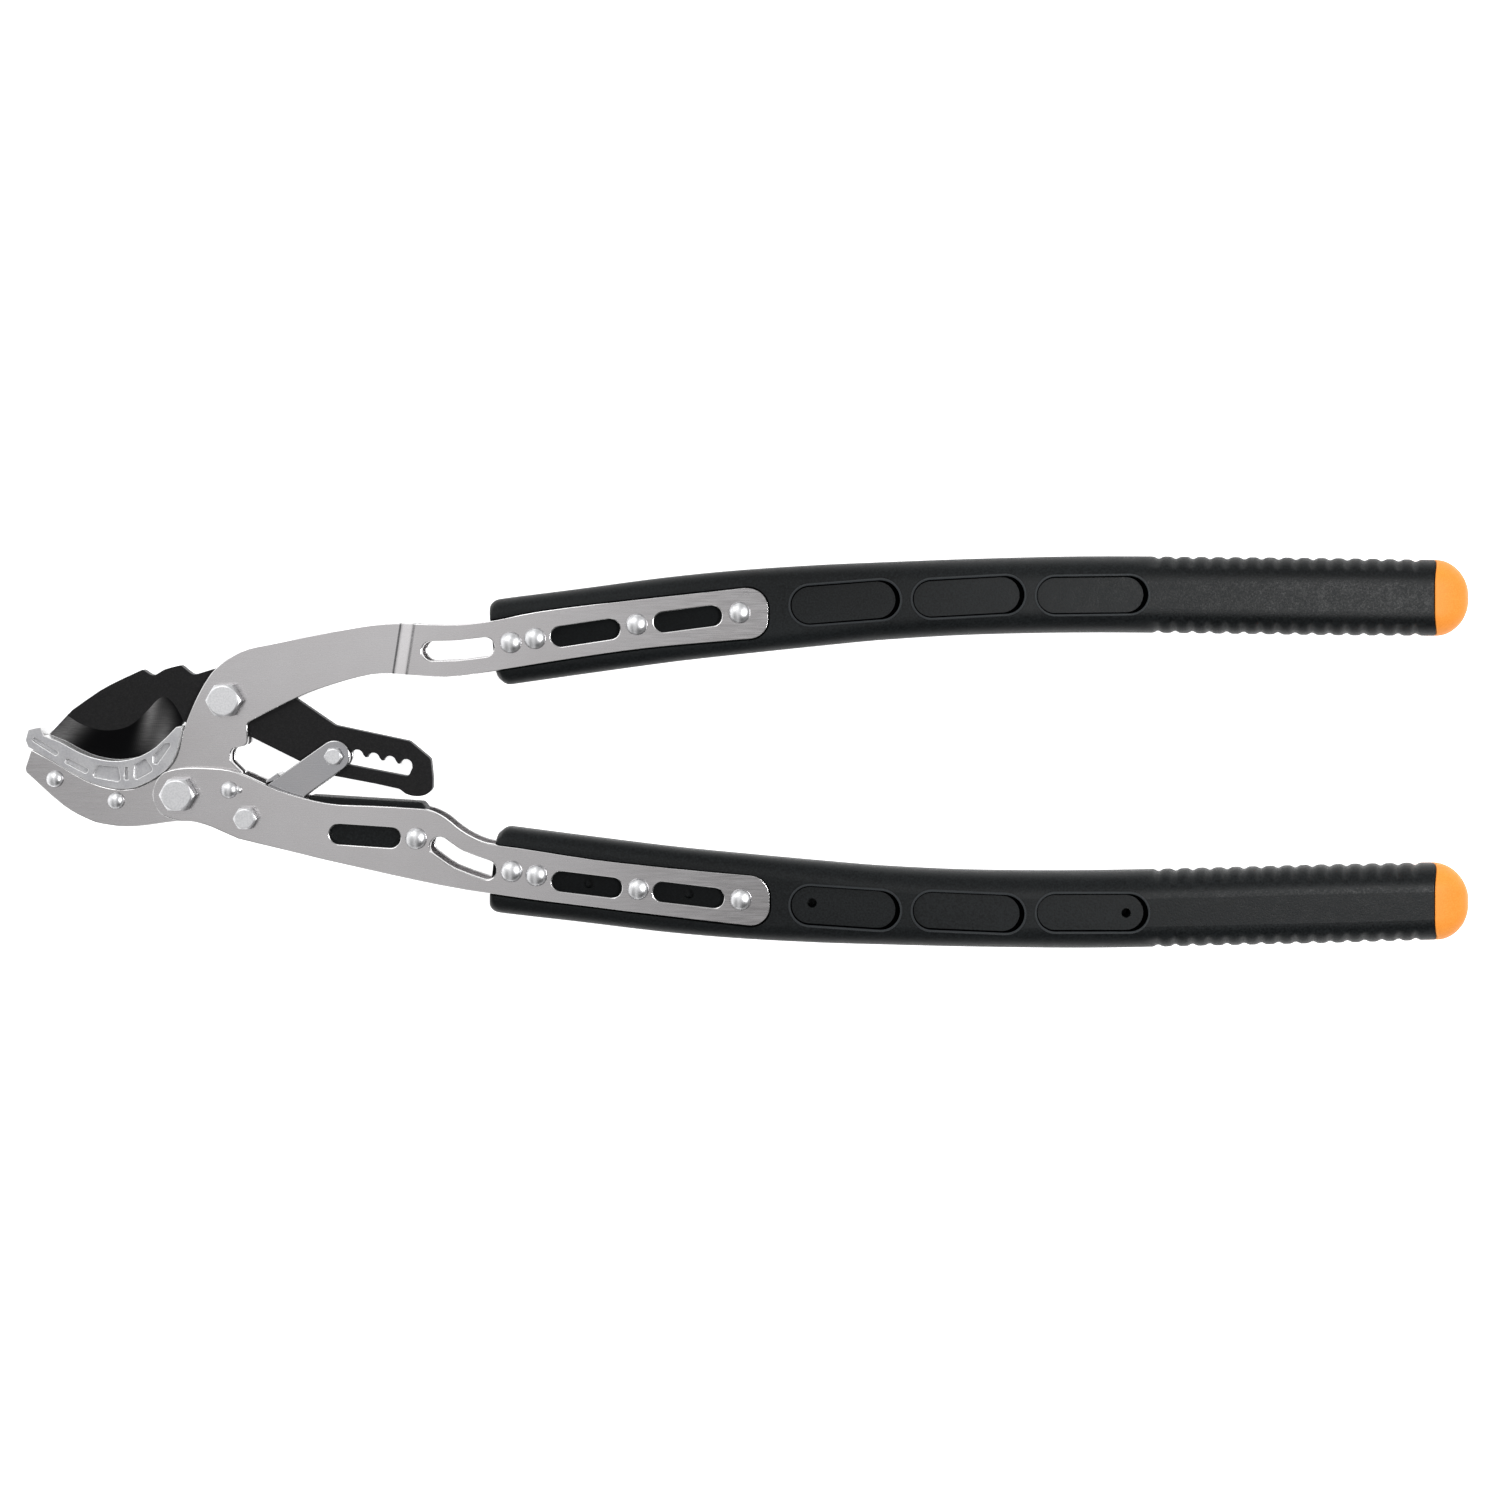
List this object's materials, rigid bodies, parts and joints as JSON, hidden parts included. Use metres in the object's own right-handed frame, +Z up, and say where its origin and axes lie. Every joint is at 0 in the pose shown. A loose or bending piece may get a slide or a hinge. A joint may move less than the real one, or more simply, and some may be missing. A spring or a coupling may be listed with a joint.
{
  "type": "ratchet anvil lopper",
  "caption": "Two-handed ratchet pruning lopper: black blade on a cast anvil in a steel plate frame, curved black handles with orange end caps.",
  "frame": {"origin": "middle of the floor rectangle under the tool as it lies flat with the jaw closed", "axes": "+X from the jaw towards the grips, +Y from the lower handle towards the upper one in the tool's plane, +Z up, square to the plates"},
  "size_m": [0.7051, 0.1915, 0.0282],
  "materials": {
    "brushed_steel": "satin brushed stainless sheet",
    "cast_aluminium": "pale matt casting",
    "black_coated_steel": "low-friction black coating, satin",
    "spring_steel": "dark drawn wire",
    "black_nylon": "satin glass-filled nylon",
    "orange_plastic": "smooth satin plastic",
    "bright_zinc": "bright zinc plate"
  },
  "bodies": {
    "frame": {"frame_plate_front": "brushed_steel", "frame_plate_rear": "brushed_steel", "anvil": "cast_aluminium", "anvil_rivet_tip": "bright_zinc", "anvil_rivet_heel": "bright_zinc", "blade_pivot_bolt": "bright_zinc", "blade_pivot_nut": "bright_zinc", "upper_handle": "black_nylon", "upper_end_cap": "orange_plastic", "upper_strap_rivet_1": "bright_zinc", "upper_strap_rivet_2": "bright_zinc", "upper_strap_rivet_3": "bright_zinc", "upper_strap_rivet_4": "bright_zinc"},
    "cutting_blade": {"blade": "black_coated_steel"},
    "lower_arm": {"lower_plate_front": "brushed_steel", "lower_plate_rear": "brushed_steel", "lower_handle": "black_nylon", "lower_end_cap": "orange_plastic", "spacer_block": "black_nylon", "spacer_rivet": "bright_zinc", "stop_pin": "bright_zinc", "handle_pivot_bolt": "bright_zinc", "handle_pivot_nut": "bright_zinc", "link_bolt": "bright_zinc", "link_nut": "bright_zinc", "pawl_spring": "spring_steel", "lower_strap_rivet_1": "bright_zinc", "lower_strap_rivet_2": "bright_zinc", "lower_strap_rivet_3": "bright_zinc", "lower_strap_rivet_4": "bright_zinc"},
    "link": {"ratchet_link": "brushed_steel", "ratchet_pin": "bright_zinc", "ratchet_pin_nut": "bright_zinc"}
  },
  "joints": [
    {"name": "handle_pivot", "type": "hinge", "parent": "frame", "child": "lower_arm", "pos_m": [-0.276, -0.0198, 0.0136], "axis": [0, 0, -1], "range_deg": [0, 48]},
    {"name": "blade_pivot", "type": "hinge", "parent": "frame", "child": "cutting_blade", "pos_m": [-0.2545, 0.0256, 0.0136], "axis": [0, 0, -1], "range_deg": [0, 28]},
    {"name": "link_pivot", "type": "hinge", "parent": "lower_arm", "child": "link", "pos_m": [-0.2435, -0.0314, 0.0136], "axis": [0, 0, 1], "range_deg": [0, 47.2]}
  ],
  "couplings": [
    {"joint": "blade_pivot", "follows": "handle_pivot", "ratio": 0.58},
    {"joint": "link_pivot", "follows": "handle_pivot", "ratio": 0.98}
  ]
}
